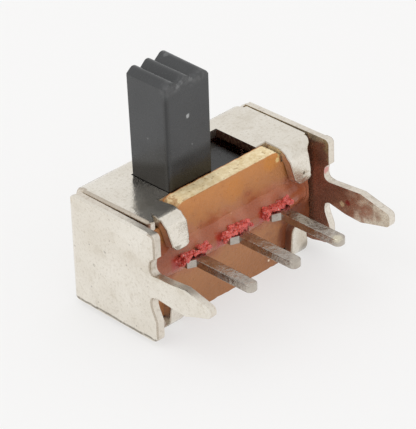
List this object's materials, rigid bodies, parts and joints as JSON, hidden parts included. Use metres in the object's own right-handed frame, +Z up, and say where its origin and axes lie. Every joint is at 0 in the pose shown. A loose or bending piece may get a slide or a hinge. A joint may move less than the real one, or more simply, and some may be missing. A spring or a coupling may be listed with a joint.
{
  "type": "slide switch",
  "caption": "Right-angle slide switch: a folded metal frame crimped over a laminate board, with flat solder pins, mounting lugs and a tall ribbed knob that slides sideways.",
  "frame": {"origin": "on the flat underside of the housing, below the middle of the knob's slot", "axes": "+X is the way the knob slides, -Y faces the circuit board that the pins and lugs go into, and +Z points up along the knob"},
  "size_m": [0.0084, 0.007, 0.0082],
  "materials": {
    "plated_steel": "warm pale nickel plate, satin, with fine scratches and pits",
    "laminate": "orange-brown paper laminate with a smooth face and pale fibrous cut edges",
    "tinned_terminal": "tinned, dull grey with scratches",
    "black_plastic": "satin black moulding",
    "silvered_bronze": "silvered spring bronze",
    "red_varnish": "glossy cured lacquer"
  },
  "bodies": {
    "housing": {"frame": "plated_steel", "base_board": "laminate", "terminal_left": "tinned_terminal", "terminal_common": "tinned_terminal", "terminal_right": "tinned_terminal", "varnish_left": "red_varnish", "varnish_common": "red_varnish", "varnish_right": "red_varnish"},
    "slide": {"slider": "black_plastic", "contact_clip": "silvered_bronze"}
  },
  "joints": [
    {"name": "knob_slide", "type": "slide", "parent": "housing", "child": "slide", "axis": [1, 0, 0], "range_m": [0, 0.002]}
  ]
}
